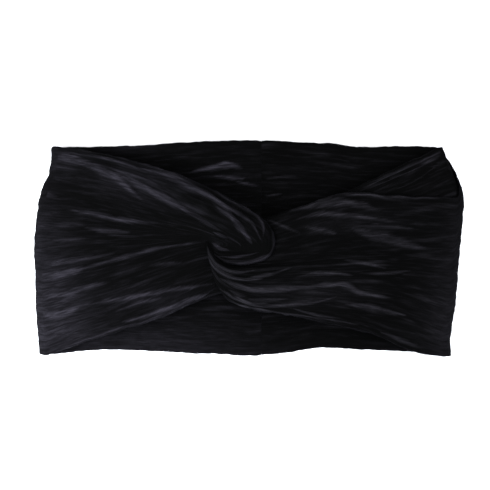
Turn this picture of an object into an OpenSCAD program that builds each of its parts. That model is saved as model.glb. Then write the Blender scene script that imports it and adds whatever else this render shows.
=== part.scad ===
// Wide twist headband in crushed velvet, lying flat with its knot upwards.
// Two velvet strips are each folded double around the other at the front, which makes the knot.
// Their four ends meet in one seam at the centre back, so the band is a loop two layers thick.
// Units are millimetres. X runs along the band, Y across it, and Z upwards. The origin is
// under the middle of the band, on the surface that it lies on.

/* [Band] */
// Length of the flattened loop, from its left fold to its right fold
band_len = 240; // [200:5:280]
// Height of the band, from its bottom edge to its top edge
band_h = 120; // [90:5:140]
// Thickness of one layer of velvet, with its pile
cloth_t = 1.2; // [0.9:0.1:1.5]
// Clear height inside the flattened loop
loop_gap = 5; // [4.8:0.2:8]

/* [Knot] */
// Half the length of the knot, which stays level as the loop opens
knot_half = 25; // [20:1:30]
// Height of the knot above the underside of the front
knot_h = 11.6; // [10:0.2:15]
// Height of the gathered front where it enters the knot, above the underside of the front
gather_h = 6.4; // [5:0.2:8]
// Share of the gathered height that the rear layer takes
rear_share = 0.45; // [0.3:0.05:0.6]

/* [Seam] */
// Place of the centre-back seam along the band
seam_x = 7; // [-8:1:12]
// Width of the raw ends that are folded inside the seam
allowance_w = 12; // [8:1:16]
// Thickness of the pressed raw ends
allowance_t = 0.6; // [0.4:0.1:0.8]
// Radius of the sewing thread
thread_r = 0.22; // [0.15:0.01:0.3]
// Distance from one stitch to the next
stitch_pitch = 3.4; // [2.5:0.1:4.5]

/* [Colours] */
// Colour of the left strip
left_colour = "#26262e"; // [#26262e, #2e2e38]
// Colour of the right strip
right_colour = "#1d1d24"; // [#1d1d24, #26262e]
// Colour of the thread
thread_colour = "#3a3a44"; // [#3a3a44, #55555f]

/* [Hidden] */

half_len = band_len / 2;
half_h = band_h / 2;
layer_gap = 0.1;      // between the two layers of a strip
hinge_gap = 0.5;      // between sections that turn against each other
thread_room = 0.02;   // round the thread in its groove

// Steps of the curved layers
side_rows = 8;        // along a side fold
edge_steps = 6;       // along the edge of a flat panel
panel_steps = 8;      // from a side fold to the knot
turn_steps = 5;       // round a quarter of a side fold
knot_steps = 3;       // along a knot piece, from one turning point of the swirl to the next
crown_steps = 6;      // across a knot piece

// Heights
back_top = 2 * cloth_t;                           // inner face of the back
front_low = back_top + loop_gap;                  // inner face of the front
fold_z = (back_top + front_low) / 2;              // middle of the side folds
sheet_t = cloth_t - layer_gap / 2;                // one layer
inner_z = cloth_t + layer_gap / 2;                // underside of the inner layer of the back
gather_top = front_low + gather_h;
gather_mid = front_low + gather_h * rear_share;
knot_top = front_low + knot_h;
tuck_top = front_low + 0.3 * knot_h;              // what passes under the knot stays below this
allowance_z = cloth_t - allowance_t / 2;

// Side folds
outer_r = fold_z;
inner_r = fold_z - inner_z;
split = asin(hinge_gap / 2 / inner_r);            // half the gap in the middle of a fold, as an angle

// The knot, and how its pieces stand to each other
knot_cover = 0.3 * knot_half;    // the tucks reach this far past the middle
sweep_end = 0.58 * knot_half;    // right end of the left strip's wrap
hook_end = -0.94 * knot_half;    // left end of the right strip's wrap
wrap_crown = 2;                  // how far a wrap's edges fall below its middle
tuck_crown = 0.4;
wrap_fall = 3.6;                 // how far a wrap falls towards its end
tuck_room = 0.4;                 // above a tuck

// The seam
stitch_run = 0.7 * stitch_pitch;
seam_len = 1.8 * half_h;

function lerp(a, b, t) = a + (b - a) * t;
function bulge(t) = 4 * t * (1 - t);
function ramp(x, a, b) = min(1, max(0, (x - a) / (b - a)));
function ease(t) = t * t * (3 - 2 * t);
function spread(a, b, n) = [for (k = [0:n]) lerp(a, b, k / n)];
function backwards(list) = [for (k = [len(list) - 1:-1:0]) list[k]];

// Outline of the loop, as shares of half the length and half the height
LEFT_FOLD = [[-1, -0.972], [-0.5, -0.99], [-0.2, -1], [0.05, -1], [0.35, -0.978], [0.7, -0.945],
    [0.95, -0.917]];
RIGHT_FOLD = [[-1, 0.934], [-0.5, 0.962], [0, 0.98], [0.3, 0.995], [0.4, 1], [0.5, 1], [0.7, 0.96],
    [0.95, 0.917]];
TOP_EDGE = [[-1, 0.943], [-0.7, 0.935], [-0.45, 0.967], [-0.2, 0.99], [-0.05, 1], [0.1, 1], [0.25, 0.98],
    [0.5, 0.945], [1, 0.943]];
BOTTOM_EDGE = [[-1, -1], [-0.94, -1], [-0.79, -0.945], [-0.6, -0.935], [-0.4, -0.955], [0, -0.99],
    [0.12, -0.98], [0.24, -0.945], [0.4, -0.92], [0.6, -0.93], [0.8, -0.955], [0.9, -0.99], [1, -0.99]];

// Edges inside the knot, as shares of half the knot's length and half the height
SWEEP_TOP = [[-1, 0.575], [-0.76, 0.543], [-0.4, 0.483], [-0.08, 0.395], [0.12, 0.333], [0.38, 0.275],
    [0.5, 0.2], [0.58, 0.06]];
HOOK_LOW = [[-0.94, 0], [-0.88, -0.08], [-0.76, -0.23], [-0.68, -0.38], [-0.56, -0.46], [-0.28, -0.535],
    [0.12, -0.583], [1, -0.64]];
SWIRL = [[-1, 0.07], [-0.6, -0.03], [-0.28, -0.13], [0.08, -0.14], [0.34, -0.1], [0.58, -0.04], [1, -0.06]];
LEFT_TUCK_LOW = [[-1, -0.43], [-0.7, -0.365], [0.3, -0.3]];
RIGHT_TUCK_TOP = [[-0.3, 0.3], [0.62, 0.33], [1, 0.38]];

// Where the panels enter the knot, as their bottom and top edges
LEFT_FRONT_IN = [-0.4, 0.57];
LEFT_REAR_IN = [-0.45, 0.42];
RIGHT_FRONT_IN = [-0.64, 0.38];
RIGHT_REAR_IN = [-0.6, 0.4];

// How far the upper edge of a panel bows between the side fold and the knot
FRONT_BOW = 2.5;
REAR_BOW = -4;
FLAP_TOP = 0.47;      // top of the right front layer at the side fold

function top_y(x) = half_h * lookup(x / half_len, TOP_EDGE);
function bottom_y(x) = half_h * lookup(x / half_len, BOTTOM_EDGE);
left_turn_x = function(y) half_len * lookup(y / half_h, LEFT_FOLD) + outer_r;
right_turn_x = function(y) half_len * lookup(y / half_h, RIGHT_FOLD) - outer_r;

// Y positions down a side fold, from its bottom corner to its top corner
left_rows = function(v) lerp(bottom_y(-half_len), top_y(-half_len), v);
right_rows = function(v) lerp(bottom_y(half_len), top_y(half_len), v);
right_front_rows = function(v) lerp(bottom_y(half_len), half_h * FLAP_TOP, v);

// Edges of the knot's pieces at an X position
function knot_edge(table) = function(x) half_h * lookup(x / knot_half, table);
above_swirl = function(x) half_h * lookup(x / knot_half, SWIRL) + hinge_gap / 2;
below_swirl = function(x) half_h * lookup(x / knot_half, SWIRL) - hinge_gap / 2;

// X positions along a knot piece, among them each turning point of the swirl, so that its edges run parallel
function knot_stations(from, to) =
    let (
        turning = [for (p = SWIRL) if (p[0] * knot_half > from && p[0] * knot_half < to) p[0] * knot_half],
        ends = concat([from], turning, [to])
    )
    concat([from], [for (k = [1:len(ends) - 1], s = [1:knot_steps])
        lerp(ends[k - 1], ends[k], s / knot_steps)]);

// Heights of a panel's faces, from its side fold (0) to the knot (1)
rear_under = function(t) front_low;
rear_over = function(t) lerp(front_low + cloth_t, gather_mid, t) - layer_gap / 2;
front_under = function(t) lerp(front_low + cloth_t, gather_mid, t) + layer_gap / 2;
front_over = function(t) lerp(front_low + 2 * cloth_t, gather_top, t);

// A closed solid between an under and an over surface, each a function of u and v that gives a point
module shell(nu, nv, under, over) {
    row = nv + 1;
    count = (nu + 1) * row;
    at = function(i, j) i * row + j;
    points = [for (side = [over, under], i = [0:nu], j = [0:nv]) side(i / nu, j / nv)];
    cells = [for (i = [0:nu - 1], j = [0:nv - 1]) [at(i, j), at(i, j + 1), at(i + 1, j + 1), at(i + 1, j)]];
    rim = concat(
        [for (j = [0:nv - 1]) [at(0, j + 1), at(0, j)]],
        [for (j = [0:nv - 1]) [at(nu, j), at(nu, j + 1)]],
        [for (i = [0:nu - 1]) [at(i, 0), at(i + 1, 0)]],
        [for (i = [0:nu - 1]) [at(i + 1, nv), at(i, nv)]]
    );
    over_faces = [for (c = cells) each [[c[0], c[1], c[2]], [c[0], c[2], c[3]]]];
    under_faces = [for (f = over_faces) [f[2] + count, f[1] + count, f[0] + count]];
    rim_faces = [for (e = rim) each [[e[0], e[1], e[1] + count], [e[0], e[1] + count, e[0] + count]]];
    polyhedron(points = points, faces = concat(over_faces, under_faces, rim_faces), convexity = 4);
}

// A flat layer of the back beside the seam
module seam_layer(z, x0, x1) {
    xs = spread(x0, x1, edge_steps);
    difference() {
        translate([0, 0, z])
            linear_extrude(sheet_t)
                polygon(concat([for (x = xs) [x, bottom_y(x)]], [for (x = backwards(xs)) [x, top_y(x)]]));
        allowance();
        stitch_groove();
    }
}

// A flat layer of the back that runs out to a side fold
module side_layer(z, x_in, rows, turn_x) {
    fold = [for (v = spread(0, 1, side_rows)) [turn_x(rows(v)), rows(v)]];
    inner_xs = function(corner) [for (t = spread(0, 1, edge_steps)) if (t < 1) lerp(x_in, corner.x, t)];
    bottom = [for (x = inner_xs(fold[0])) [x, bottom_y(x)]];
    top = [for (x = inner_xs(fold[side_rows])) [x, top_y(x)]];
    translate([0, 0, z])
        linear_extrude(sheet_t)
            polygon(concat(bottom, fold, backwards(top)));
}

// A quarter of a side fold, from one angle to another about the middle of the fold
module side_turn(turn_x, rows, r, from, to) {
    arc = function(radius) function(u, v)
        let (a = lerp(from, to, u))
        [turn_x(rows(v)) + radius * cos(a), rows(v), fold_z + radius * sin(a)];
    shell(turn_steps, side_rows, arc(r - sheet_t), arc(r));
}

module left_turn_back(r) side_turn(left_turn_x, left_rows, r, 270, 180 + split);
module left_turn_front(r) side_turn(left_turn_x, left_rows, r, 180 - split, 90);
module right_turn_front(r, rows) side_turn(right_turn_x, rows, r, 90, split);
module right_turn_back(r) side_turn(right_turn_x, right_rows, r, -split, -90);

// A panel of the front, between its side fold and the knot
module left_panel(knot_in, bow, under, over) {
    face = function(z_at) function(u, v)
        [lerp(left_turn_x(left_rows(v)), -knot_half - hinge_gap, u),
            lerp(left_rows(v), half_h * lerp(knot_in[0], knot_in[1], v), u) + bow * bulge(u) * v, z_at(u)];
    color(left_colour) shell(panel_steps, side_rows, face(under), face(over));
}

module right_panel(rows, knot_in, bow, under, over) {
    face = function(z_at) function(u, v)
        [lerp(knot_half + hinge_gap, right_turn_x(rows(v)), u),
            lerp(half_h * lerp(knot_in[0], knot_in[1], v), rows(v), u) + bow * bulge(u) * v, z_at(1 - u)];
    color(right_colour) shell(panel_steps, side_rows, face(under), face(over));
}

// A piece of the knot through the stations xs. It lies between two edges, and is crowned across.
module knot_piece(xs, low_y, high_y, under_z, over_z, crown) {
    last = len(xs) - 1;
    face = function(z_at, drop) function(u, v)
        let (x = xs[round(u * last)])
        [x, lerp(low_y(x), high_y(x), v), z_at(x) - drop * (1 - bulge(v))];
    shell(last, crown_steps, face(under_z, 0), face(over_z, crown));
}

// The raw ends of both strips, pressed flat between the layers
module allowance()
    translate([seam_x - allowance_w / 2, -seam_len / 2, allowance_z])
        cube([allowance_w, seam_len, allowance_t]);

// The seam draws in along the inner face, and its thread lies in the groove
module stitch_groove() {
    width = 2 * (thread_r + thread_room);
    translate([seam_x - width / 2, -band_h, back_top - width])
        cube([width, 2 * band_h, 2 * width]);
}

module left_seam_panel_outer()
    color(left_colour) seam_layer(0, -knot_half + hinge_gap / 2, seam_x);

module left_seam_panel_inner()
    color(left_colour) seam_layer(inner_z, -knot_half + hinge_gap / 2, seam_x);

module right_seam_panel_outer()
    color(right_colour) seam_layer(0, seam_x, knot_half - hinge_gap / 2);

module right_seam_panel_inner()
    color(right_colour) seam_layer(inner_z, seam_x, knot_half - hinge_gap / 2);

module left_back_panel_outer()
    color(left_colour) side_layer(0, -knot_half - hinge_gap / 2, left_rows, left_turn_x);

module left_back_panel_inner()
    color(left_colour) side_layer(inner_z, -knot_half - hinge_gap / 2, left_rows, left_turn_x);

module right_back_panel_outer()
    color(right_colour) side_layer(0, knot_half + hinge_gap / 2, right_rows, right_turn_x);

module right_back_panel_inner()
    color(right_colour) side_layer(inner_z, knot_half + hinge_gap / 2, right_rows, right_turn_x);

module left_side_turn_outer_back() color(left_colour) left_turn_back(outer_r);
module left_side_turn_inner_back() color(left_colour) left_turn_back(inner_r);
module left_side_turn_outer_front() color(left_colour) left_turn_front(outer_r);
module left_side_turn_inner_front() color(left_colour) left_turn_front(inner_r);
module right_side_turn_outer_back() color(right_colour) right_turn_back(outer_r);
module right_side_turn_inner_back() color(right_colour) right_turn_back(inner_r);
module right_side_turn_outer_front() color(right_colour) right_turn_front(outer_r, right_front_rows);
module right_side_turn_inner_front() color(right_colour) right_turn_front(inner_r, right_rows);

module left_front_panel() left_panel(LEFT_FRONT_IN, FRONT_BOW, front_under, front_over);
module left_rear_panel() left_panel(LEFT_REAR_IN, REAR_BOW, rear_under, rear_over);
module right_front_panel() right_panel(right_front_rows, RIGHT_FRONT_IN, FRONT_BOW, front_under, front_over);
module right_rear_panel() right_panel(right_rows, RIGHT_REAR_IN, REAR_BOW, rear_under, rear_over);

// The left strip passes over the upper half of the knot, and back under its lower half
module left_knot_wrap() {
    under = function(x) lerp(front_low, tuck_top, ease(ramp(x, -knot_half, -knot_cover)));
    over = function(x) lerp(gather_top, knot_top, ease(ramp(x, -knot_half, -knot_cover)))
        - wrap_fall * ease(ramp(x, knot_cover, sweep_end));
    xs = knot_stations(-knot_half, sweep_end);
    color(left_colour) knot_piece(xs, above_swirl, knot_edge(SWEEP_TOP), under, over, wrap_crown);
}

module left_knot_tuck() {
    over = function(x) lerp(gather_top, tuck_top, ramp(x, -knot_half, hook_end)) - tuck_room;
    xs = concat([-knot_half], knot_stations(hook_end, knot_cover));
    under = function(x) front_low;
    color(left_colour) knot_piece(xs, knot_edge(LEFT_TUCK_LOW), below_swirl, under, over, tuck_crown);
}

// The right strip passes over the lower half of the knot, and back under its upper half
module right_knot_wrap() {
    under = function(x) lerp(tuck_top, front_low, ease(ramp(x, knot_cover, knot_half)));
    over = function(x) lerp(knot_top, gather_top, ease(ramp(x, 0, knot_half)))
        - wrap_fall * (1 - ease(ramp(x, hook_end, -knot_cover)));
    xs = knot_stations(hook_end, knot_half);
    color(right_colour) knot_piece(xs, knot_edge(HOOK_LOW), below_swirl, under, over, wrap_crown);
}

module right_knot_tuck() {
    over = function(x) lerp(tuck_top, gather_top, ramp(x, sweep_end, knot_half)) - tuck_room;
    xs = knot_stations(-knot_cover, knot_half);
    under = function(x) front_low;
    color(right_colour) knot_piece(xs, above_swirl, knot_edge(RIGHT_TUCK_TOP), under, over, tuck_crown);
}

module centre_seam_allowance()
    color(right_colour) allowance();

module centre_seam_stitches() {
    count = floor(seam_len / stitch_pitch);
    thread_z = back_top - thread_r - thread_room;
    color(thread_colour)
        for (k = [0:count - 1])
            translate([seam_x, (k - (count - 1) / 2) * stitch_pitch - stitch_run / 2, thread_z])
                rotate([-90, 0, 0])
                    cylinder(r = thread_r, h = stitch_run, $fn = 24);
}

left_seam_panel_outer();
left_seam_panel_inner();
left_back_panel_outer();
left_back_panel_inner();
left_side_turn_outer_back();
left_side_turn_inner_back();
left_side_turn_outer_front();
left_side_turn_inner_front();
left_front_panel();
left_rear_panel();
left_knot_wrap();
left_knot_tuck();
right_seam_panel_outer();
right_seam_panel_inner();
right_back_panel_outer();
right_back_panel_inner();
right_side_turn_outer_back();
right_side_turn_inner_back();
right_side_turn_outer_front();
right_side_turn_inner_front();
right_front_panel();
right_rear_panel();
right_knot_wrap();
right_knot_tuck();
centre_seam_allowance();
centre_seam_stitches();
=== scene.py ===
"""The twist headband in crushed velvet: every cloth layer, its look, and the camera, light and floor."""

import math

import bpy
import numpy as np
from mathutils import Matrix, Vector


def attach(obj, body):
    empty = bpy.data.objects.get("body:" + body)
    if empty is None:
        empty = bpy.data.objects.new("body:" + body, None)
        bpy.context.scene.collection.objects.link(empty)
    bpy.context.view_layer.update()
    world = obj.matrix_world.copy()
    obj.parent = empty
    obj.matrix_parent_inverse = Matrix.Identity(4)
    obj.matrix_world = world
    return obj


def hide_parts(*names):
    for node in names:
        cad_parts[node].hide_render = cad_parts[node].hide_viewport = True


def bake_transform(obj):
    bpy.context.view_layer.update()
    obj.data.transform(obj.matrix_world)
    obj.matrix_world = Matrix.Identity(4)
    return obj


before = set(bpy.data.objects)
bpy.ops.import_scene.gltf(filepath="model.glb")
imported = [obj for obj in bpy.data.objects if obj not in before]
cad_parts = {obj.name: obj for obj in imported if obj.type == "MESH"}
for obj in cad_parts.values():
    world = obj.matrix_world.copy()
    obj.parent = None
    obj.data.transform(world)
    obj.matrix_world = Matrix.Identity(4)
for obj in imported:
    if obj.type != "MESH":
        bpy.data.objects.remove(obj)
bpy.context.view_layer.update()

MM = 0.001

# Thicknesses of the cloth, flat and where it turns, in mm
CLOTH = 1.1
TURN_CLOTH = 0.5
# Heights in the loop, in mm: the top of its back, the underside of its front, and its side hinges
BACK_TOP = 2.4
FRONT_LOW = 7.4
FOLD_Z = 4.9
# X of the seam, of the bends beside the knot and the seam, and of the hinges of the side folds
SEAM_X = 7.0
HINGE_X = 25.0
# Y of the top corners
CORNER_Y = 56.6
# The rows that fill the open right back bend: how far they turn, just short of the bend's own 45 degrees,
# how close they come to its axis, and how many they are. BEND_SHARE is the share of a back's rows before it.
OPEN_BEND = math.radians(44)
BEND_LEAST = 0.25
BEND_ROWS = 6
BEND_SHARE = 0.8
# How round a side fold is, from 0, straight on each side of its crease, to 1, half a circle
ROUND = 0.5
# The small waves of a side fold: their height, reach and phase, in mm, and their seed
FOLD_WAVE = 0.35
FOLD_WAVE_REACH = 3.1
FOLD_WAVE_PHASE = 40
FOLD_WAVE_SEED = 7
# Between these shares of a strand, from its side fold, the gathered front changes from smooth across its
# strands to straight between them
TENSE_FROM = 0.62
TENSE_TO = 0.8
# Share of a front, from the knot, past which it gives way to the waves of its side fold
GIVE_FROM = 0.55
# Share of a back, from its side fold, over which its long edges ease into their own line
EASE = 0.15

# ---------------------------------------------------------------- shapes


def smooth(x, low, high):
    """0 below low, 1 above high, and an easy step between them."""
    t = np.clip((x - low) / (high - low), 0, 1)
    return t * t * (3 - 2 * t)


def mix(a, b, share):
    return a + (b - a) * share


def hump(x, middle, width):
    """1 at the middle, and 0 more than about two widths from it."""
    return np.exp(-(((x - middle) / width) ** 2))


def spline(points, u):
    """The smooth curve through the rows of points, at u from 0 to their number less 1."""
    p = np.asarray(points, float)
    i = np.clip(np.floor(u).astype(int), 0, len(p) - 2)
    f = (u - i).reshape(-1, *[1] * (p.ndim - 1))
    q = np.concatenate([[2 * p[0] - p[1]], p, [2 * p[-1] - p[-2]]])
    a, b, c, d = q[i], q[i + 1], q[i + 2], q[i + 3]
    return b + 0.5 * f * (c - a + f * (2 * a - 5 * b + 4 * c - d + f * (3 * (b - c) + d - a)))


def through(pairs, x):
    """A smooth curve through (position, value) pairs."""
    at, value = np.array(pairs, float).T
    u = np.interp(x, at, np.arange(len(at)))
    return spline(value, np.atleast_1d(u).ravel()).reshape(np.shape(x))


def noise(x, y, seed):
    """Gradient noise of about -1 to 1, which repeats only after size steps."""
    size = 128
    gain = 1.5
    angle = np.random.default_rng(seed).uniform(0, 2 * math.pi, (size, size))
    gx, gy = np.cos(angle), np.sin(angle)
    xi, yi = np.floor(x).astype(int), np.floor(y).astype(int)
    xf, yf = x - xi, y - yi

    def corner(dx, dy):
        k = ((xi + dx) % size, (yi + dy) % size)
        return gx[k] * (xf - dx) + gy[k] * (yf - dy)

    def eased(t):
        return t**3 * (t * (6 * t - 15) + 10)

    u, v = eased(xf), eased(yf)
    low = corner(0, 0) * (1 - u) + corner(1, 0) * u
    high = corner(0, 1) * (1 - u) + corner(1, 1) * u
    return gain * (low * (1 - v) + high * v)


def unit(v):
    return v / np.maximum(np.linalg.norm(v, axis=-1, keepdims=True), 1e-9)


def facing(grid):
    """Unit normals of a grid of points."""
    return unit(np.cross(np.gradient(grid, axis=0), np.gradient(grid, axis=1)))


# Outline of the flat loop: X of the side folds by Y, and Y of the long edges by X
LEFT_FOLD = [(-60, -116.6), (-42, -118.3), (-29, -119), (-12, -119.2), (-4, -120), (10, -119.2),
             (23, -117.8), (31, -116.4), (37, -114.2), (42, -111.6), (50, -110.6), (57, -110)]
RIGHT_FOLD = [(-60, 112.7), (-51, 112.4), (-40, 114), (-30, 115.2), (-18, 116.2), (0, 117.8), (15, 119),
              (27, 120), (34, 118.8), (41, 116), (49, 113), (57, 109.6)]
TOP_EDGE = [(-110, 56.6), (-100, 56.1), (-81, 56.6), (-64, 57.2), (-47, 58.4), (-25, 59.4), (8, 60),
            (31, 58.9), (47, 58.3), (60, 56.6), (80, 56.6), (110, 56.6)]
BOTTOM_EDGE = [(-117, -59), (-108, -57.8), (-90, -56.5), (-73, -56.1), (-55, -56.8), (-34, -57.9),
               (-18, -58.4), (0, -59.4), (9, -58.9), (24, -57.3), (36, -55.4), (48, -55), (64, -56.1),
               (81, -56.6), (98, -57.8), (113, -60)]

# Strands of the gathered front, each from the side fold into the knot as (x, y, z) of its upper face.
# The left strip's run over the knot and curl back under themselves; the lowest ones end under the hook.
LEFT_STRANDS = [
    [(-110, 56.5, 9.8), (-86, 52.5, 10.4), (-62, 47, 11), (-42, 41, 11.8), (-24, 34, 12.6),
     (-10, 27.4, 13.2), (1, 21.2, 13.4), (9, 14.8, 13.4), (13.6, 7, 13.4), (13.6, -1, 13.6), (8, -6.2, 14),
     (-3, -8.6, 14), (-13.4, -8, 13), (-20.6, -3, 11.2)],
    [(-112, 49, 9.8), (-86, 45, 11.4), (-62, 38.5, 13), (-42, 31.5, 14.6), (-25, 25, 16.2),
     (-12, 18.6, 17.6), (-3, 13.4, 18.2), (4, 8.6, 17.6), (8, 4.2, 16), (7, -0.8, 14.2), (1.6, -3.8, 13.4),
     (-6, -4.8, 12.8), (-14.4, -4.4, 12), (-21.6, -0.6, 11)],
    [(-114, 39.5, 9.8), (-87, 35.5, 11.2), (-63, 29, 12.4), (-43, 22, 13.6), (-28, 16.5, 14.8),
     (-18, 11.8, 15.6), (-11, 8.2, 15.6), (-5, 4.8, 14.6), (-1.6, 1.8, 13.2), (-3, -0.8, 12.2),
     (-7, -1.8, 11.8), (-12, -1.8, 11.5), (-17, -1.2, 11.2), (-22.4, 1, 10.9)],
    [(-118.5, 18, 9.8), (-88, 15.5, 10.8), (-63, 12, 11.6), (-43, 9.5, 12.3), (-31, 8, 12.8),
     (-24, 6.8, 13), (-19, 5.6, 12.8), (-14.6, 4.2, 12.4), (-11.8, 2.8, 12), (-11.6, 1.4, 11.6),
     (-14, 0.8, 11.4), (-17, 0.8, 11.2), (-20, 1.2, 11), (-22.9, 2, 10.8)],
    [(-119, -15, 9.8), (-88, -8.5, 10.7), (-63, -3.2, 11.4), (-45, 0.6, 11.9), (-35, 2.6, 12),
     (-30.5, 3.4, 11.8), (-28, 3.6, 11.6), (-26.6, 3.6, 11.4), (-25.8, 3.5, 11.3), (-25.2, 3.4, 11.2),
     (-24.7, 3.3, 11.1), (-24.2, 3.2, 11), (-23.7, 3.1, 10.9), (-23.2, 3, 10.8)],
    [(-118, -38, 9.8), (-88, -30, 10.6), (-63, -22, 11.2), (-45, -16, 11.6), (-34, -12.7, 11.6),
     (-28, -11, 11.3), (-25, -10.2, 11), (-23, -9.7, 10.7), (-21.5, -9.3, 10.5), (-20.3, -9, 10.4),
     (-19.2, -8.7, 10.3), (-18.2, -8.4, 10.2), (-17.3, -8.2, 10.2), (-16.5, -8, 10.1)],
    [(-116.6, -58.8, 9.8), (-88, -49.5, 10), (-64, -42, 10.4), (-46, -35.8, 10.6), (-35, -31, 10.6),
     (-28.5, -28, 10.4), (-25, -26.2, 10.2), (-22.5, -24.8, 10), (-20.5, -23.6, 9.9), (-19, -22.5, 9.8),
     (-17.7, -21.5, 9.7), (-16.6, -20.6, 9.7), (-15.6, -19.7, 9.6), (-14.7, -18.9, 9.6)],
]
# The right strip's upper strands end under the left one. Its lower ones hook up and under at the knot's left.
RIGHT_STRANDS = [
    [(114, 28.4, 9.8), (88, 29, 10.5), (66, 30.6, 11.3), (50, 29.8, 12), (36, 25.6, 12), (25, 22, 11.5),
     (17, 19.4, 10.9), (11, 17, 10.5), (6, 15, 10.2), (3, 13.4, 10), (0, 12, 10), (-3, 11, 9.8)],
    [(115, 14, 9.8), (88, 15, 11), (64, 15.5, 12.2), (46, 14, 13.2), (33, 11, 13.6), (23, 8.5, 13),
     (16, 6.5, 12), (11, 5.2, 11.3), (7, 4.5, 11), (4, 4, 10.8), (1, 4, 10.6), (-2, 4, 10.4)],
    [(117, 1, 9.8), (88, 0, 11), (64, -1, 12.2), (46, -2, 13.3), (33, -3.5, 13.9), (23, -4.8, 13.6),
     (16, -5.6, 12.8), (10, -6, 12), (5, -6, 11.6), (1, -5.6, 11.3), (-3, -5, 11), (-6, -4.4, 10.8)],
    [(117.4, -5, 9.8), (88, -4.6, 11), (64, -5, 12.2), (46, -5.8, 13.3), (33, -7, 14), (22, -8.2, 13.9),
     (11, -9.2, 13), (0, -9.8, 12.3), (-9.6, -9.2, 11.8), (-16.4, -6, 11.3), (-20.2, -1.2, 11.2),
     (-21.6, 4.8, 11)],
    [(118, -9, 9.8), (88, -7.5, 11), (64, -7.5, 12.2), (46, -8, 13.3), (33, -8.8, 14.2), (22, -9.8, 14.7),
     (11, -10.6, 14.9), (0, -11.2, 15), (-10, -10.6, 15.2), (-17.6, -7, 14.8), (-21.8, -0.6, 12.9),
     (-22.9, 5.4, 11.2)],
    [(118, -20, 9.8), (88, -15, 11), (64, -14.5, 12.2), (46, -14.5, 13.3), (33, -14.8, 14.3),
     (21, -15.4, 15.2), (9, -16.2, 15.8), (-2, -16, 16.2), (-11.6, -14.2, 16), (-18.6, -9.6, 14.8),
     (-22.8, -3, 12.8), (-24.2, 4.8, 11.2)],
    [(117, -34, 9.8), (88, -26, 11), (64, -23.5, 12), (46, -22.3, 13), (33, -22, 14), (20, -22.2, 14.8),
     (9, -22.2, 15.3), (-1, -21.2, 15.6), (-9, -18.8, 15.2), (-15.2, -15, 14.2), (-19.8, -9.6, 12.8),
     (-23, -3.4, 11.5)],
    [(116, -46, 9.8), (88, -37, 10.8), (64, -33, 11.6), (46, -31.6, 12.4), (33, -31.2, 13.2),
     (20, -31, 13.8), (9, -30, 14.1), (-1, -28, 14.1), (-8, -25.2, 13.6), (-13.4, -21.4, 12.8),
     (-17.6, -17, 11.8), (-20.6, -12, 10.7)],
    [(113, -59.6, 9.8), (94, -56, 10), (72, -47, 10.6), (50, -41.6, 11.1), (34, -38.8, 11.6),
     (20, -36.4, 12), (9, -35.2, 12.2), (0, -33.4, 12.2), (-7.2, -31, 11.8), (-12.4, -27.8, 11.2),
     (-16.2, -23.6, 10.5), (-19, -19, 10)],
]

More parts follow.
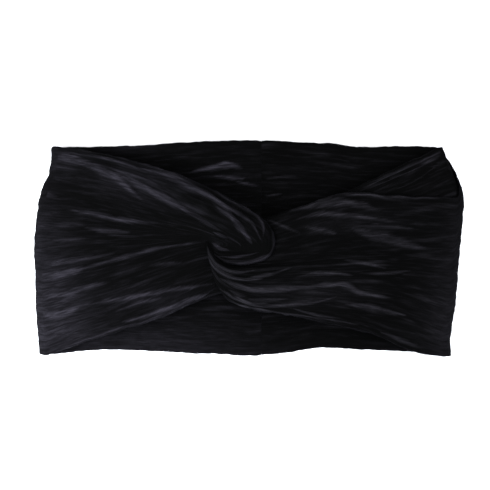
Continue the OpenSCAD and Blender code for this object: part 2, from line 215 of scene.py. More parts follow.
# The gathers that stand out, as (half width, height, painted highlight, points along it in x and y)
LEFT_GATHERS = [
    (1.2, 0.5, 0.45, [(-98, 55), (-72, 50.4), (-52, 45), (-31, 37.6), (-14, 28.4), (1, 18.6), (9, 8)]),
    (2.4, 0.9, 0.8, [(-64, 45.4), (-45, 40.6), (-31, 34.4), (-17.6, 25.4), (-7.6, 14.8), (-1.4, 6.8),
                     (2.2, 1.6)]),
    (1.5, 0.9, 0.65, [(-52, 40.6), (-38, 36.4), (-25, 30.8), (-12.8, 23.6), (-3, 17.4), (2.6, 12.6),
                      (6.8, 4)]),
    (1.2, 0.7, 0.6, [(-14, 28), (-2, 22.4), (5, 17), (7.9, 12), (7.9, 6)]),
    (1, 0.5, 0.45, [(6, 20), (11.6, 14.6), (13.4, 7.6), (13.3, 0.6), (10.6, -3.8)]),
    (3, 0.7, 0.65, [(-109.6, 51), (-98, 49.6), (-86, 47)]),
    (1.3, 0.6, 0.6, [(-100, 53.4), (-84, 50.8), (-70, 47.4), (-58, 43.2)]),
    (3.4, 0.9, 0.7, [(-94, 47.4), (-82, 43.6), (-72, 38), (-59, 26.6)]),
    (1.4, 0.6, 0.6, [(-80, 46), (-66, 41), (-54, 36.4), (-42, 30)]),
    (2.8, 0.9, 0.7, [(-74, 42.6), (-60, 35), (-48, 28.6), (-36, 21.4), (-25, 14.8)]),
    (1.4, 0.5, 0.45, [(-44, 26), (-32, 19.4), (-23, 13.8), (-12.8, 8)]),
    (1.7, 0.6, 0.75, [(-103, 22.4), (-84, 18.8), (-68, 15.6), (-50, 13.8)]),
    (1.6, 0.5, 0.7, [(-91, 11.6), (-78, 10), (-65, 8.8)]),
    (1.7, 0.4, 0.5, [(-117.4, 31.6), (-107, 28.8)]),
    (1.6, 0.7, 0.7, [(-113, -8.8), (-96, -6.4), (-74, -3)]),
    (2.8, 0.8, 0.8, [(-117, -14.8), (-102, -14), (-90, -10.4)]),
    (1.5, 0.8, 0.6, [(-98, -12.4), (-80, -7.8), (-66, -4), (-48, 0.4), (-25, 3.6)]),
    (2, 0.7, 0.8, [(-117, -26), (-102, -25.4), (-91, -21.8), (-77, -18.4)]),
    (2.8, 0.8, 0.75, [(-118, -35.6), (-105, -36.4), (-93, -31.6)]),
    (1.7, 0.8, 0.75, [(-97, -32.4), (-81, -29.6), (-62, -26.4), (-48, -23.6), (-31, -21.2), (-20, -19.4)]),
    (2.3, 0.8, 0.9, [(-71, -40.8), (-57, -37.6), (-43, -32.8), (-31, -28), (-18, -24)]),
    (1.4, 0.5, 0.6, [(-73, -34.4), (-60, -30.2), (-47, -27.2)]),
    (0.9, 0.4, 0.6, [(-108, -56.8), (-90, -50.8), (-72, -44.2), (-52.5, -39), (-36, -32.2), (-18, -25)]),
    (1.3, 0.3, 0.35, [(-56, -9.4), (-36, -7.8)]),
    (1, 0.5, 0.55, [(-18, -4.2), (-9, -4.6), (-0.8, -3.4), (7.7, -1.4)]),
    (1.4, 0.6, 0.7, [(-15, -7.2), (-4, -8), (4, -6.8), (10, -4.2), (13.2, -0.6)]),
    (1.4, 0.4, 0.85, [(-20.6, 3.4), (-16.6, 0.4), (-10.6, -1)]),
    (1.2, 0.4, 0.5, [(-20, 9.2), (-11.6, 5.6)]),
]
RIGHT_GATHERS = [
    (0.8, 0.4, 0.85, [(18, 20.4), (30.8, 23.4), (43, 28), (55, 29.8), (68, 30), (78, 28.6), (97, 28),
                      (113, 28)]),
    (2.8, 0.9, 0.75, [(20, 21), (36.6, 23.8), (51, 25.4), (61, 24.2), (73, 20.4)]),
    (1.9, 0.8, 0.8, [(27, 16.4), (40, 19.2), (52.4, 18.6), (65.6, 16.8), (79, 14.8)]),
    (1.7, 0.5, 0.5, [(30, 12), (40, 10.2), (49, 7.6)]),
    (1.6, 0.5, 0.6, [(56, 12), (68, 12.2), (78, 11.6), (92, 11.4)]),
    (3.6, 0.8, 0.55, [(56, 11.6), (70, 6.4), (83, 3.4), (98, 0)]),
    (1.1, 0.4, 0.45, [(9, 16.4), (19.5, 12.4), (29, 8.2)]),
    (1.5, 0.6, 0.6, [(52, -6.2), (63, -7.8), (76, -11)]),
    (1.2, 0.6, 0.6, [(-3, -16.4), (11, -14.2), (24, -10.2)]),
    (1.5, 0.6, 0.65, [(25, -15.8), (38, -13.8), (49, -13.8), (58, -15)]),
    (1.5, 0.8, 0.8, [(-23.4, 2), (-21.6, -3.4), (-18, -8.6), (-12.6, -12), (-5, -13.2), (4, -11.8)]),
    (1.4, 0.7, 0.75, [(-23.6, -2.6), (-19.4, -9.8), (-11.6, -15.2), (-1, -17), (8, -16.6)]),
    (2.3, 0.9, 0.85, [(-16.4, -16.2), (-8.4, -19.8), (2, -22.4), (15, -22.6), (28.6, -21.4), (38, -21.6)]),
    (2.1, 0.9, 0.85, [(30, -21), (42, -20.2), (52, -20), (63, -24.6), (79, -27.4)]),
    (1.5, 0.8, 0.85, [(-17, -21.4), (-12, -24.8), (-6.9, -27.6), (2.2, -30.6), (12, -31.4), (24, -31),
                      (37, -29.6), (50, -26)]),
    (1.6, 0.5, 0.45, [(-1, -28), (8, -28.4), (22, -27.6)]),
    (1.4, 0.4, 0.4, [(-11.4, -22.6), (-6, -25.4), (-1, -26.2)]),
    (1.9, 0.7, 0.75, [(52, -30.6), (66, -32), (76, -34.8), (87, -37)]),
    (0.8, 0.5, 0.7, [(-14, -26), (-8.4, -29.8), (-2, -32.2), (7, -33.8), (17, -35.6), (31, -37.4),
                     (52, -40.4), (68, -43.6)]),
    (1, 0.5, 0.55, [(24, -33), (37, -36.6), (52, -38.6)]),
    (1.4, 0.5, 0.5, [(72, -46), (84, -50.4), (96, -55)]),
    (1.2, 0.4, 0.4, [(60, -13.4), (76, -13.8), (90, -12)]),
]
BACK_GATHERS = [
    (2.4, 0.35, 1, [(-33, 42.6), (-19, 45.6), (-11.6, 46.8), (-3, 44.6)]),
    (1.5, 0.3, 0.7, [(-20, 40.6), (-10.6, 39.4), (-1, 38.6)]),
    (1.1, 0.3, 0.7, [(-8, 38), (-2, 36.4), (5, 35.2)]),
    (0.9, 0.3, 0.4, [(9, 39), (19.6, 40.2), (30, 39.8)]),
    (1, 0.3, 0.35, [(8.6, 29), (20, 31)]),
]
# Those of the right rear layer, where the front's top edge is turned down
FLAP_GATHERS = [
    (0.8, 0.4, 1, [(62, 33.2), (76, 39.6), (87, 44.4), (98, 49.8), (109.4, 55.4)]),
    (0.8, 0.5, 0.75, [(64, 32), (78, 38), (90, 43), (101, 48.6), (108, 52.6)]),
    (0.9, 0.4, 0.25, [(80, 32), (91, 37), (101, 43.6), (107, 49)]),
]
# Broad painted light, with painted shade where negative, as (x, y, reach in x, reach in y, strength)
LEFT_PAINTED_LIGHT = [(-117, -34, 24, 26, 0.36), (-104, -50, 34, 12, 0.18), (-119, 6, 16, 26, 0.2),
                (-104, 50, 16, 8, 0.2), (-56, 32, 16, 8, 0.12), (-74, 38, 14, 7, 0.14),
                (-44, 42, 22, 5, 0.12), (-54, -28, 26, 7, 0.1), (0, -0.4, 9, 2.6, -0.45)]
RIGHT_PAINTED_LIGHT = [(115, -44, 16, 26, 0.24), (117, 0, 9, 30, 0.12), (56, 16, 22, 7, 0.08),
                 (36, -24, 24, 7, 0.1)]
BACK_PAINTED_LIGHT = [(-66, -60, 56, 16, 0.26), (-70, 58, 24, 6, 0.12), (104, -58, 20, 10, 0.15)]

# Long edges of the rear layers as (x, y), from the side fold to their ends under the knot
LEFT_REAR_TOP = [(-110, 56.4), (-86, 49), (-62, 41), (-42, 32), (-25, 23), (-12, 10), (-2, 0), (8, -5)]
LEFT_REAR_LOW = [(-116.6, -59.2), (-88, -50.6), (-64, -43.2), (-46, -37), (-25, -27.5), (-12, -24),
                 (-2, -21), (8, -18)]
RIGHT_REAR_TOP = [(109.6, 56), (100, 51), (87, 45), (76, 40), (64, 34.6), (52, 28.4), (40, 23.6),
                  (25, 18.6), (12, 16.6), (2, 15.6), (-8, 15)]
RIGHT_REAR_LOW = [(112.7, -60), (94, -57), (72, -47.6), (50, -42), (25, -36), (12, -20), (2, -6), (-8, 0)]


def fold_x(side, y):
    """X of the middle of a side fold, with the small waves of its outline."""
    edge = through(LEFT_FOLD if side < 0 else RIGHT_FOLD, y)
    row = np.zeros_like(y) + 0.5 * side
    wave = FOLD_WAVE * noise(y / FOLD_WAVE_REACH + FOLD_WAVE_PHASE, row, FOLD_WAVE_SEED)
    return edge - side * FOLD_Z + wave


def front_grid(strands, rows, columns):
    """The gathered front over its strands, from the knot (first row) to the side fold (last row)."""
    net = np.array(strands, float)
    stations = np.linspace(0, net.shape[1] - 1, rows)
    along = np.stack([spline(s, stations) for s in net])
    across = np.linspace(0, len(net) - 1, columns)
    i = np.minimum(across.astype(int), len(net) - 2)
    f = (across - i)[:, None, None]
    straight = along[i] * (1 - f) + along[i + 1] * f
    tense = smooth(stations / stations[-1], TENSE_FROM, TENSE_TO)[None, :, None]
    surface = spline(along, across) * (1 - tense) + straight * tense
    return surface.transpose(1, 0, 2)[::-1]


def rear_grid(side, rows, columns):
    """The rear layer's inner face, from under the knot (first row) to the side fold (last row)."""
    tops, lows = (LEFT_REAR_TOP, LEFT_REAR_LOW) if side < 0 else (RIGHT_REAR_TOP, RIGHT_REAR_LOW)
    corner_x, corner_y = tops[0]
    knot_x = tops[-1][0]
    share = np.linspace(0, 1, columns)
    reach = np.linspace(0, 1, rows)[:, None]
    x = mix(knot_x, fold_x(side, mix(corner_y, lows[0][1], share)), reach)
    level = mix(knot_x, corner_x, reach) + np.zeros_like(x)
    y = mix(through(sorted(tops), level), through(sorted(lows), level), share)
    return np.stack([x, y, np.full_like(x, FRONT_LOW)], -1)


def whole_sheet(front, side, radius, turn_rows, back_rows):
    """One layer of a strip from the knot, round the side fold, and along the back to the seam.
    Returns the grid and the rows at which the turn starts and ends."""
    y0 = front[-1, :, 1]
    share = (y0 - y0[-1]) / (y0[0] - y0[-1])
    q = np.linspace(-1, 1, turn_rows + 1)[1:, None]
    y = mix(y0, mix(y0[-1], CORNER_Y, share), smooth(q, -1, 1))
    reach = mix(1 - np.abs(q), np.cos(q * math.pi / 2), ROUND)
    fall = mix(q, np.sin(q * math.pi / 2), ROUND)
    z = FOLD_Z - radius * fall + np.zeros_like(y)
    turn = np.stack([fold_x(side, y) + side * radius * reach, y, z], -1)
    end = turn[-1]
    s = np.linspace(0, 1, back_rows + 1)[1:, None]
    bend_x = HINGE_X if side > 0 else mix(end[:, 0], SEAM_X, BEND_SHARE)
    to_bend = np.minimum(s / BEND_SHARE, 1)
    past_bend = np.maximum(s - BEND_SHARE, 0) / (1 - BEND_SHARE)
    x = mix(end[:, 0], bend_x, to_bend) + (SEAM_X - bend_x) * past_bend
    level = mix(through(BOTTOM_EDGE, x), through(TOP_EDGE, x), share)
    y = mix(end[:, 1], level, smooth(s, 0, EASE))
    back = np.stack([x, y, np.broadcast_to(end[:, 2], x.shape)], -1)
    return np.concatenate([front, turn, back]), len(front) - 1, len(front) - 1 + turn_rows


# ---------------------------------------------------------------- gathers and pile

# Each kind of gather, as (reach along the strands, reach across them, share of their drift, height)
BROAD_FOLDS = (70, 11, 1, 0.5)
RIDGES = (38, 6.5, 1, 0.42)
FINE_RIDGES = (20, 2.9, 1.5, 0.18)
# A ridge falls by RIDGE_FALL from its RIDGE_TOP to the creases beside it
RIDGE_TOP = 0.8
RIDGE_FALL = 2.2

# How tightly the strands can be gathered at most and at least
TIGHTEST = 0.02
LOOSEST = 1.2

# A drawn gather. Its ends taper by the power TAPER, and its section by the power CREST. The crease and the
# painted shade beside it are given by their depth, their place in half widths, and their own width.
SAMPLES = 60
TAPER = 0.7
CREST = 1.5
CREASE, CREASE_AT, CREASE_WIDTH = 0.45, 1.5, 0.45
SHADE, SHADE_AT, SHADE_WIDTH = 0.25, 1.4, 0.4
LEAST_TAPER = 0.05
# The deepest painted shade
DARKEST = -0.3


def cloth_lengths(grid, fold_row):
    """How far each point lies along its strand from the side fold, and which height it has at the fold."""
    step = np.linalg.norm(np.diff(grid, axis=0), axis=-1)
    u = np.concatenate([np.zeros((1, grid.shape[1])), np.cumsum(step, axis=0)])
    u -= u[fold_row]
    v = np.broadcast_to(grid[fold_row, :, 1], u.shape)
    return u, v


def tightness(grid, v):
    """How closely the strands are gathered: 1 where the cloth lies flat, and less in the knot."""
    width = np.linalg.norm(np.gradient(grid, axis=1), axis=-1)
    flat = np.abs(np.gradient(v, axis=1))
    return np.clip(width / np.maximum(flat, 1e-6), TIGHTEST, LOOSEST)


def gathers(u, v, seed):
    """Height of the gathers, from about -1 to 1: long soft ridges with sharper creases between them."""
    drift = 3.5 * noise(u / 45, v / 30, seed)
    total = 0
    for k, (along, across, follow, height) in enumerate((BROAD_FOLDS, RIDGES, FINE_RIDGES)):
        wave = noise(u / along, (v + follow * drift) / across, seed + 1 + k)
        total = total + height * (wave if k == 0 else RIDGE_TOP - RIDGE_FALL * np.abs(wave))
    return total


def nap_marks(u, v, seed):
    """Where the crushed pile lies over and shines, from 0 to 1: lens-shaped marks along the strands."""
    drift = 3 * noise(u / 40, v / 25, seed + 4)
    long_marks = smooth(noise(u / 30, (v + drift) / 3.6, seed + 5), 0.16, 0.75)
    short_marks = smooth(noise(u / 13, (v + drift) / 1.9, seed + 6), 0.3, 0.9)
    density = 0.6 + 0.7 * noise(u / 45, v / 22, seed + 7)
    return np.clip(long_marks * density + 0.35 * short_marks, 0, 1)


def painted_light_spots(grid, spots):
    """The painted light of the broad spots, and painted shade where their strength is negative."""
    glow = np.zeros(grid.shape[:2])
    for x, y, reach_x, reach_y, painted_light_strength in spots:
        glow += painted_light_strength * hump(grid[..., 0], x, reach_x) * hump(grid[..., 1], y, reach_y)
    return glow


def drawn(grid, lines, seed):
    """The height and the painted highlights and shade that the gathers in lines give a sheet. Both fade to
    pointed ends.
    """
    lift, pile_and_painted_light = np.zeros(grid.shape[:2]), np.zeros(grid.shape[:2])
    for k, (half_width, height, painted_light_strength, points) in enumerate(lines):
        line = spline(points, np.linspace(0, len(points) - 1, SAMPLES))
        step = np.linalg.norm(np.diff(line, axis=0), axis=1)
        course = unit(np.gradient(line, axis=0))
        apart = grid[..., None, :2] - line
        nearest = np.hypot(apart[..., 0], apart[..., 1]).argmin(-1)
        off = np.take_along_axis(apart, nearest[..., None, None], 2)[..., 0, :]
        ahead = course[nearest]
        along = (ahead * off).sum(-1)
        to_top = np.where(ahead[..., 0] < 0, -1, 1)
        aside = (ahead[..., 0] * off[..., 1] - ahead[..., 1] * off[..., 0]) * to_top
        spacing = step.mean()
        share = np.clip((nearest + along / spacing) / (SAMPLES - 1), 0, 1)
        taper = np.sin(math.pi * np.clip(share, 0.001, 0.999)) ** TAPER
        width = half_width * np.maximum(taper, LEAST_TAPER)
        beyond = np.maximum(np.abs(along) - spacing, 0)
        q = np.hypot(aside, beyond) / width
        crest = np.clip(1 - q * q, 0, 1) ** CREST
        lift += height * taper * (crest - CREASE * hump(q, CREASE_AT, CREASE_WIDTH))

        # The painted highlight has frayed sides and fine streaks, and is stronger on the band's lit top side
        length = share * step.sum()
        frayed = q * (1 + 0.5 * noise(length / 8, aside / 1.6 + 9 * k, seed))
        streaks = 0.85 + 0.5 * noise(length / 14, aside / 1.4, seed + 2 + k)
        top_side_light = 0.75 + 0.25 * np.clip(aside / width, -1, 1)
        lit = np.clip(1 - frayed * frayed, 0, 1) * top_side_light * streaks
        pile_and_painted_light = np.maximum(pile_and_painted_light, painted_light_strength * lit * taper**0.5) - SHADE * hump(q, SHADE_AT, SHADE_WIDTH) * taper
    return lift, np.clip(pile_and_painted_light, DARKEST, 1)


# ---------------------------------------------------------------- meshes

# How far the rounding of a long edge stands out at most, in mm
EDGE_ROUND = 0.6


def piece(name, face, behind, n, uv, pile_and_painted_light, sign, material):
    """A closed mesh between the grids face and behind, with soft long edges. n are the normals of face.
    sign is 1 if the rows, columns and normals of face are right-handed."""
    rows, columns = face.shape[:2]
    edges = []
    for end, inner in ((0, 1), (-1, -2)):
        middle = (face[:, end] + behind[:, end]) / 2
        out = unit(face[:, end] - face[:, inner])
        half = np.linalg.norm(face[:, end] - behind[:, end], axis=-1, keepdims=True) / 2
        edges.append((middle + out * np.minimum(half, EDGE_ROUND), out))
    points = np.concatenate([face.reshape(-1, 3), behind.reshape(-1, 3), edges[0][0], edges[1][0]])
    count = rows * columns
    soft = np.zeros((columns, 1))
    soft[0], soft[-1] = 1, 1
    outward = np.zeros_like(face)
    outward[:, 0], outward[:, -1] = edges[0][1], edges[1][1]
    up = unit(n + outward * soft)
    down = unit(-n + outward * soft)
    normals = np.concatenate([up.reshape(-1, 3), down.reshape(-1, 3), edges[0][1], edges[1][1]])
    at = np.arange(count).reshape(rows, columns)
    a, b, c, d = at[:-1, :-1], at[:-1, 1:], at[1:, 1:], at[1:, :-1]
    faces = [np.stack([a, d, c, b], -1).reshape(-1, 4), np.stack([a, b, c, d], -1).reshape(-1, 4) + count]
    for k, column in ((0, 0), (1, -1)):
        line = at[:, column]
        rim = 2 * count + k * rows + np.arange(rows)
        for low, high in ((line, rim), (rim, line + count)):
            quad = np.stack([low[:-1], high[:-1], high[1:], low[1:]], -1)
            faces.append(quad if k == 0 else quad[:, ::-1])
    for row, flip in ((0, False), (rows - 1, True)):
        line = at[row]
        quad = np.stack([line[:-1], line[1:], line[1:] + count, line[:-1] + count], -1)
        faces.append(quad[:, ::-1] if flip else quad)
    quads = np.concatenate(faces)
    caps = []
    for row, flip in ((0, False), (rows - 1, True)):
        for k, column in ((0, 0), (1, -1)):
            tri = (at[row, column], at[row, column] + count, 2 * count + k * rows + row)
            caps.append(tri if flip != (k == 0) else tri[::-1])
    mesh = bpy.data.meshes.new(name)
    polygons = quads[:, ::sign].tolist() + [t[::sign] for t in caps]
    mesh.from_pydata((points * MM).tolist(), [], polygons)
    flow = uv.reshape(-1, 2)
    flow = np.concatenate([flow, flow, uv[:, 0], uv[:, -1]])
    pile_and_painted_light = np.concatenate([pile_and_painted_light.ravel(), pile_and_painted_light.ravel(), pile_and_painted_light[:, 0], pile_and_painted_light[:, -1]])
    corner = np.zeros(len(mesh.loops), int)
    mesh.loops.foreach_get("vertex_index", corner)
    mesh.uv_layers.new(name="Flow").data.foreach_set("uv", flow[corner].ravel())
    # This attribute holds the pile's own marks mixed with painted highlights and painted shade
    mesh.attributes.new("painted_light_and_pile", "FLOAT", "POINT").data.foreach_set("value", pile_and_painted_light.astype(np.float32))
    mesh.polygons.foreach_set("use_smooth", [True] * len(mesh.polygons))
    mesh.normals_split_custom_set_from_vertices(normals.tolist())
    mesh.materials.append(material)
    obj = bpy.data.objects.new(name, mesh)
    bpy.context.scene.collection.objects.link(obj)
    return obj


# ---------------------------------------------------------------- materials


def velvet(name, dark, lit, sheen_tint):
    """Crushed velvet with painted highlights and shade. Its marks run along the strands, which are U of the
    piece's own map.
    """
    mat = bpy.data.materials.new(name)
    mat.use_nodes = True
    tree = mat.node_tree
    nodes, link = tree.nodes, tree.links.new
    shader = nodes["Principled BSDF"]
    shader.inputs["Sheen Weight"].default_value = 0.004
    shader.inputs["Sheen Roughness"].default_value = 0.35
    shader.inputs["Sheen Tint"].default_value = (*sheen_tint, 1)
    shader.inputs["Specular IOR Level"].default_value = 0.008

    flow = nodes.new("ShaderNodeUVMap")
    flow.uv_map = "Flow"

    def stretched(along, across, detail, rough, distortion=0.0):
        """A noise with so many grains in a unit along the strands and across them."""
        mapping = nodes.new("ShaderNodeMapping")
        mapping.inputs["Scale"].default_value = (along, across, 1)
        link(flow.outputs["UV"], mapping.inputs["Vector"])
        tex = nodes.new("ShaderNodeTexNoise")
        tex.inputs["Scale"].default_value = 1
        tex.inputs["Detail"].default_value = detail
        tex.inputs["Roughness"].default_value = rough
        tex.inputs["Distortion"].default_value = distortion
        link(mapping.outputs["Vector"], tex.inputs["Vector"])
        return tex.outputs["Fac"]

    def ranged(value, start, end):
        """The value, taken from the range start to the range end."""
        step = nodes.new("ShaderNodeMapRange")
        step.interpolation_type = "SMOOTHSTEP"
        for key, number in zip(("From Min", "From Max", "To Min", "To Max"), (*start, *end)):
            step.inputs[key].default_value = number
        link(value, step.inputs["Value"])
        return step.outputs["Result"]

    def combine(kind, a, b):
        node = nodes.new("ShaderNodeMath")
        node.operation = kind
        for socket, value in zip(node.inputs, (a, b)):
            if isinstance(value, (int, float)):
                socket.default_value = value
            else:
                link(value, socket)
        return node.outputs["Value"]

    painted_light_and_pile = nodes.new("ShaderNodeAttribute")
    painted_light_and_pile.attribute_name = "painted_light_and_pile"
    strands = stretched(along=0.55, across=5.5, detail=3, rough=0.6, distortion=0.3)
    wisps = stretched(along=0.8, across=6.5, detail=2, rough=0.55, distortion=0.6)
    flecks = stretched(along=1.6, across=14, detail=4, rough=0.65, distortion=0.2)
    fuzz = stretched(along=22, across=60, detail=3, rough=0.7)

    # The marks of the pile and the painted highlights and shade, broken up by the three finer noises
    streaks = combine("MULTIPLY", ranged(strands, (0.45, 0.75), (0, 1)), 0.1)
    marks = combine("ADD", painted_light_and_pile.outputs["Fac"], streaks)
    marks = combine("MULTIPLY", marks, ranged(wisps, (0.36, 0.62), (0.6, 1.24)))
    marks = combine("MULTIPLY", marks, ranged(flecks, (0.3, 0.66), (0.56, 1.18)))
    # The ramp runs from the dark cloth to the lit colour, which paints the highlights
    ramp = nodes.new("ShaderNodeValToRGB")
    ramp.color_ramp.elements[0].color = (*dark, 1)
    ramp.color_ramp.elements[1].color = (*lit, 1)
    ramp.color_ramp.elements[1].position = 0.95
    middle = ramp.color_ramp.elements.new(0.3)
    middle.color = (*[mix(a, b, 0.27) for a, b in zip(dark, lit)], 1)
    link(marks, ramp.inputs["Fac"])
    pile = nodes.new("ShaderNodeMixRGB")
    pile.blend_type = "MULTIPLY"
    pile.inputs["Fac"].default_value = 1
    link(ramp.outputs["Color"], pile.inputs["Color1"])
    link(ranged(fuzz, (0.25, 0.75), (0.55, 1.35)), pile.inputs["Color2"])
    link(pile.outputs["Color"], shader.inputs["Base Color"])
    link(ranged(marks, (0.1, 0.9), (0.9, 0.6)), shader.inputs["Roughness"])

    height = combine("ADD", combine("MULTIPLY", strands, 0.7), combine("MULTIPLY", flecks, 0.35))
    height = combine("ADD", height, combine("MULTIPLY", fuzz, 0.12))
    relief(nodes, link, height, strength=0.42, distance=0.6)
    return mat


def relief(nodes, link, height, strength, distance):
    """Gives the shader the relief of a height, which is distance mm high."""
    bump = nodes.new("ShaderNodeBump")
    bump.inputs["Strength"].default_value = strength
    bump.inputs["Distance"].default_value = distance * MM
    link(height, bump.inputs["Height"])
    link(bump.outputs["Normal"], nodes["Principled BSDF"].inputs["Normal"])


def plain_cloth(name, low, high, scale):
    """Thread and raw ends: a fine weave of two close tones."""
    mat = bpy.data.materials.new(name)
    mat.use_nodes = True
    nodes, link = mat.node_tree.nodes, mat.node_tree.links.new
    shader = nodes["Principled BSDF"]
    shader.inputs["Roughness"].default_value = 0.75
    shader.inputs["Specular IOR Level"].default_value = 0.02
    where = nodes.new("ShaderNodeTexCoord")
    tex = nodes.new("ShaderNodeTexNoise")
    tex.inputs["Scale"].default_value = scale
    tex.inputs["Detail"].default_value = 3
    link(where.outputs["Object"], tex.inputs["Vector"])
    ramp = nodes.new("ShaderNodeValToRGB")
    ramp.color_ramp.elements[0].color = (*low, 1)
    ramp.color_ramp.elements[1].color = (*high, 1)
    link(tex.outputs["Fac"], ramp.inputs["Fac"])
    link(ramp.outputs["Color"], shader.inputs["Base Color"])
    relief(nodes, link, tex.outputs["Fac"], strength=0.4, distance=0.1)
    return mat


left_velvet = velvet("velvet_left", (0.0011, 0.0011, 0.0011), (0.0197, 0.0183, 0.0231), (0.77, 0.75, 1.0))
# A darker copy of the left velvet: painted shade for the less lit right strip
right_velvet = velvet("velvet_right", (0.0009, 0.0009, 0.0009), (0.0172, 0.0162, 0.0194), (0.8, 0.77, 1.0))
thread = plain_cloth("thread", (0.0006, 0.0006, 0.0007), (0.0016, 0.0016, 0.0019), scale=900)
raw_cloth = plain_cloth("raw_ends", (0.006, 0.006, 0.008), (0.014, 0.014, 0.018), scale=700)

# ---------------------------------------------------------------- the strips

# Rows of points in the front, the rear, a side turn and the back, and the points in each row
GRID = ((180, 80, 16, 90, 150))
FRONT_ROWS, REAR_ROWS, TURN_ROWS, BACK_ROWS, COLUMNS = GRID
# The pieces' own maps count in units of this many mm
MAP_UNIT = 10

# How high the gathers stand in mm: in the outer and inner layer's front, at the side turns, and in the back
OUTER_SWELL = 0.45
INNER_SWELL = 0.25
TURN_SWELL = 0.22
BACK_SWELL = 0.2
# How far the outer layer's long edges curl down in the front, in mm
EDGE_FALL = 0.5
# Shares of the swell that are left at the side fold and at the long edges
SWELL_AT_FOLD = 0.3
SWELL_AT_EDGE = 0.35
# Share of a drawn gather's height that its sheet takes
DRAWN_SHARE = 0.9
# Depth of the groove at the seam and at the right back bend, and the width of both, in mm
SEAM_GROOVE = 0.3
BEND_GROOVE = 0.08
GROOVE_WIDTH = 0.7
# The waves of the long edges, as (height, reach along the edge, seed), and their reach across it, in mm
EDGE_WAVES = ((0.5, 9, 9), (0.25, 3.2, 10))
WAVE_ACROSS = 80
# How strongly the pile's marks show in front and back, and how deep the tightest folds' painted shade is
FRONT_NAP = 0.29
BACK_NAP = 0.15
TIGHT_SHADE = 0.12
# What the front layers gain in thickness towards the knot, where their gathers lie on each other, in mm
OUTER_BULK = 1.2
INNER_BULK = 0.9
# The noises of the drawn gathers start this far from their sheet's own seed
DRAWN_SEED = 20


def dress(grid, fold_row, turn_end, facing_sign, seed, swell, edge_fall, front_marks, back_marks):
    """Adds gathers to a whole sheet. facing_sign is 1 if the grid's normals point out of the cloth's seen
    face. Returns the sheet, its map, and its pile marks mixed with painted highlights and painted shade."""
    u, v = cloth_lengths(grid, fold_row)
    tight = tightness(grid, v)
    height = gathers(u, v, seed)
    rows = np.arange(len(grid))[:, None]
    front, back = slice(0, fold_row + 1), slice(turn_end, None)
    in_front, in_back = rows <= fold_row, rows > turn_end
    from_fold = np.abs(u)
    column = np.linspace(0, 1, grid.shape[1])[None, :]
    from_edge = np.minimum(column, 1 - column) * np.abs(v[0, 0] - v[0, -1])

    amount = np.where(in_front, swell * mix(SWELL_AT_FOLD, 1, smooth(from_fold, 5, 75)), TURN_SWELL)
    amount = amount * np.clip(1.6 * tight, 0.08, 1)
    amount = np.where(in_back, BACK_SWELL, amount)
    amount = amount * mix(SWELL_AT_EDGE, 1, smooth(from_edge, 0, 5))
    lift = height * amount - edge_fall * (1 - smooth(from_edge, 0, 4)) * in_front

    extra, glow = np.zeros_like(lift), np.zeros_like(lift)
    # glow holds the drawn gathers' painted highlights and the painted shade beside their creases
    extra[front], glow[front] = drawn(grid[front], front_marks[0], seed + DRAWN_SEED)
    extra[front] *= smooth(from_fold[front], 0, 10)
    extra[back], glow[back] = drawn(grid[back], back_marks[0], seed + DRAWN_SEED)
    at_seam = np.where(in_back, hump(grid[..., 0], SEAM_X, GROOVE_WIDTH), 0)
    at_bend = np.where(in_back, hump(grid[..., 0], HINGE_X, GROOVE_WIDTH), 0)
    lift = lift + extra * DRAWN_SHARE - SEAM_GROOVE * at_seam
    lift = mix(lift, -BEND_GROOVE, at_bend)

    wave = sum(high * noise(u / reach, v / WAVE_ACROSS, seed + k) for high, reach, k in EDGE_WAVES)
    moved = grid + facing(grid) * (facing_sign * lift)[..., None]
    side = unit(np.gradient(grid, axis=1))
    moved += side * (wave * (1 - smooth(from_edge, 0, 3)))[..., None]

    # The colour marks: the pile's own marks, brighter on the ridges as a painted highlight, plus glow and
    # broad
    faint = np.where(in_front, FRONT_NAP, BACK_NAP) * smooth(tight, 0.08, 0.4)
    # Broad pools of painted light, and painted shade where their strength is negative
    broad = np.where(in_front, painted_light_spots(grid, front_marks[1]), painted_light_spots(grid, back_marks[1]))
    on_ridges = 0.6 + 0.5 * smooth(height, -0.2, 0.5)
    pile_and_painted_light = faint * nap_marks(u, v, seed) * on_ridges + glow + broad
    # Painted shade in the tightest folds of the front
    pile_and_painted_light = pile_and_painted_light - TIGHT_SHADE * (1 - smooth(tight, 0.06, 0.3)) * in_front
    return moved, np.stack([u, v], -1) / MAP_UNIT, np.clip(pile_and_painted_light, -0.2, 1)


def turned(points, angle, x, z):
    """Points turned about an axis along Y through x and z, from +X towards +Z."""
    c, s = math.cos(angle), math.sin(angle)
    dx, dz = points[:, 0] - x, points[:, 2] - z
    return np.stack([x + c * dx - s * dz, points[:, 1], z + s * dx + c * dz], -1)


def bend_rows(face, behind, n, uv, pile_and_painted_light):
    """What a layer of the seam gains past the right back bend. These rows lie inside the right back at
    rest, and fill the wedge that the bend opens."""
    angles = np.linspace(OPEN_BEND, 0, BEND_ROWS + 1)[:-1]
    highest = [np.inf, np.inf, BACK_TOP - BEND_LEAST]

    def round_bend(row):
        return [turned(np.minimum(row, highest), a, HINGE_X, BACK_TOP) for a in angles]

    normals = [turned(n, a, 0, 0) for a in angles]
    flow = [uv - np.array([a * BACK_TOP / MAP_UNIT, 0]) for a in angles]
    return round_bend(face), round_bend(behind), normals, flow, [pile_and_painted_light] * BEND_ROWS


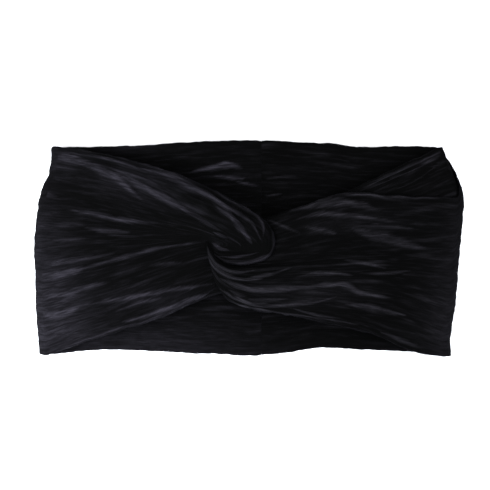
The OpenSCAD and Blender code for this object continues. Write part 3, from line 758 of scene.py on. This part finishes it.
def cut_sheet(name, grid, bounds, sign, look, material):
    """The function that cuts pieces from one layer of a strip. bounds are the rows where the side fold and
    the back start. look is the layer's thickness, seed and swell, the fall of its edges, and its marks."""
    fold_row, turn_end = bounds
    thickness, seed, swell, edge_fall, marks = look
    grid, uv, pile_and_painted_light = dress(grid, fold_row, turn_end, sign, seed, swell, edge_fall, *marks)
    u, _ = cloth_lengths(grid, fold_row)
    n = facing(grid) * sign
    in_front = np.arange(len(grid))[:, None] <= fold_row
    # The thickness is measured upright where the strands are gathered, since their normals turn over there
    gathered = (smooth(np.abs(u), 40, 70) * in_front)[..., None]
    upright = np.array([0, 0, math.copysign(1, n[:fold_row, :, 2].mean())])
    behind = grid - unit(mix(n, upright, gathered)) * thickness(np.abs(u), in_front)[..., None]

    def cut(part, first, last, past_bend=False):
        layer = [a[first : last + 1] for a in (grid, behind, n, uv, pile_and_painted_light)]
        if past_bend:
            layer = [np.concatenate(pair) for pair in zip(bend_rows(*[a[0] for a in layer]), layer)]
        return piece(f"{name}_{part}", *layer, sign, material)

    return cut


def outer_thick(u, front):
    """Thickness of the outer layer by the distance u from its side fold, in the front or past it."""
    flat = mix(TURN_CLOTH, CLOTH, np.where(front, smooth(u, 0, 12), smooth(u, 15, 27)))
    return flat + np.where(front, OUTER_BULK * smooth(u, 20, 80) * (1 - smooth(u, 112, 125)), 0)


def inner_thick(u, front):
    """Thickness of the inner layer, as for the outer one."""
    flat = mix(TURN_CLOTH, CLOTH, np.where(front, smooth(u, 0, 12), smooth(u, 9, 21)))
    return flat + np.where(front, INNER_BULK * smooth(u, 10, 80), 0)


def strip(side, material, seeds):
    """Both layers of one strip, cut where the loop bends."""
    word = "left" if side < 0 else "right"
    front = front_grid(LEFT_STRANDS if side < 0 else RIGHT_STRANDS, FRONT_ROWS, COLUMNS)
    s = np.linspace(0, 1, FRONT_ROWS)[:, None]
    front[..., 0] += (fold_x(side, front[-1, :, 1]) - front[-1, :, 0]) * smooth(s, GIVE_FROM, 1)
    rear = rear_grid(side, REAR_ROWS, COLUMNS)

    front_marks = (LEFT_GATHERS, LEFT_PAINTED_LIGHT) if side < 0 else (RIGHT_GATHERS, RIGHT_PAINTED_LIGHT)
    rear_marks = ([] if side < 0 else FLAP_GATHERS, [])
    outer_marks = (front_marks, ([], front_marks[1]))
    inner_marks = (rear_marks, (BACK_GATHERS, BACK_PAINTED_LIGHT))
    outer_look = (outer_thick, seeds[0], OUTER_SWELL, EDGE_FALL, outer_marks)
    inner_look = (inner_thick, seeds[1], INNER_SWELL, 0, inner_marks)

    pieces = {}
    for layer, front_part, start, radius, sign, look in (
        ("outer", "front_layer", front, FOLD_Z, -side, outer_look),
        ("inner", "rear_layer", rear, FOLD_Z - BACK_TOP, side, inner_look),
    ):
        grid, *rows = whole_sheet(start, side, radius, TURN_ROWS, BACK_ROWS)
        make = cut_sheet(word, grid, rows, sign, look, material)
        fold_row, turn_end = rows
        last = len(grid) - 1
        back_end = last if side < 0 else turn_end + round(BEND_SHARE * BACK_ROWS)
        pieces["front", layer] = make(front_part, 0, fold_row)
        pieces["turn", layer] = make("side_turn_" + layer, fold_row, turn_end)
        pieces["back", layer] = make("back_" + layer, turn_end, back_end)
        if side > 0:
            pieces["seam", layer] = make("seam_" + layer, back_end, last, past_bend=True)
    return pieces


left = strip(-1, left_velvet, seeds=(11, 31))
right = strip(1, right_velvet, seeds=(52, 72))

# ---------------------------------------------------------------- what moves with what, and the CAD parts that the pieces replace, hidden


def at(x, z):
    return (x * MM, 0, z * MM)


for layer, front_nodes in (("outer", ("front_panel", "knot_wrap")), ("inner", ("rear_panel", "knot_tuck"))):
    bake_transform(left["front", layer])
    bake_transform(right["front", layer])
    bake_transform(left["turn", layer])
    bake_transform(right["turn", layer])
    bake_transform(left["back", layer])
    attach(right["back", layer], "back_right")
    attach(right["seam", layer], "back_centre")
    for word, made in (("left", left), ("right", right)):
        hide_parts(*[f"{word}_{n}" for n in front_nodes])
        turn = f"{word}_side_turn_{layer}"
        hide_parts(turn + "_back", turn + "_front")
        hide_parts(f"{word}_back_panel_{layer}")
    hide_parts(f"left_seam_panel_{layer}")
    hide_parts(f"right_seam_panel_{layer}")

for name, slot_name, material in (
    ("centre_seam_allowance", "velvet_right", raw_cloth),
    ("centre_seam_stitches", "thread", thread),
):
    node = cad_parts[name]
    node.data.materials.clear()
    node.data.materials.append(material)

# ---------------------------------------------------------------- camera, light and floor

world = bpy.data.worlds.new("studio")
world.use_nodes = True
world.node_tree.nodes["Background"].inputs["Color"].default_value = (0.93, 0.95, 1, 1)
world.node_tree.nodes["Background"].inputs["Strength"].default_value = 0.85
bpy.context.scene.world = world


def aim(obj, place, target):
    obj.location = place
    obj.rotation_euler = (Vector(target) - Vector(place)).to_track_quat("-Z", "Y").to_euler()


def lamp(name, size, power, place, target, colour):
    """A rectangular softbox, with its sizes and places in metres and its power in watts."""
    data = bpy.data.lights.new(name, "AREA")
    data.shape = "RECTANGLE"
    data.size, data.size_y = size
    data.energy = power
    data.color = colour
    obj = bpy.data.objects.new(name, data)
    aim(obj, place, target)
    bpy.context.scene.collection.objects.link(obj)


lamp("left_softbox", (0.35, 0.35), 7, (-0.36, -0.2, 0.3), (-0.06, -0.02, 0), (0.9, 0.94, 1))
lamp("top_softbox", (0.7, 0.25), 5, (0.1, 0.55, 0.75), (0, 0, 0), (1, 1, 1))
lamp("right_softbox", (0.25, 0.25), 1.6, (0.34, -0.08, 0.22), (0.1, 0, 0), (0.88, 0.9, 1))

# The floor is just under the lowest gather
FLOOR_HALF = 3
FLOOR_Z = -0.0004
corners = [(-FLOOR_HALF, -FLOOR_HALF, 0), (FLOOR_HALF, -FLOOR_HALF, 0),
           (FLOOR_HALF, FLOOR_HALF, 0), (-FLOOR_HALF, FLOOR_HALF, 0)]
floor_mesh = bpy.data.meshes.new("floor")
floor_mesh.from_pydata(corners, [], [(0, 1, 2, 3)])
floor = bpy.data.objects.new("floor", floor_mesh)
bpy.context.scene.collection.objects.link(floor)
floor.location.z = FLOOR_Z
pale = bpy.data.materials.new("pale_floor")
pale.use_nodes = True
pale.node_tree.nodes["Principled BSDF"].inputs["Base Color"].default_value = (0.97, 0.97, 0.97, 1)
pale.node_tree.nodes["Principled BSDF"].inputs["Roughness"].default_value = 0.9
floor_mesh.materials.append(pale)

# The camera looks straight down, which is how a new camera points
camera_data = bpy.data.cameras.new("camera")
camera_data.lens = 100
camera_data.sensor_width = 36
camera_data.dof.use_dof = False
camera = bpy.data.objects.new("camera", camera_data)
camera.location = (-0.0022, 0.002, 0.764)
bpy.context.scene.collection.objects.link(camera)
bpy.context.scene.camera = camera
bpy.context.scene.view_settings.view_transform = "Standard"
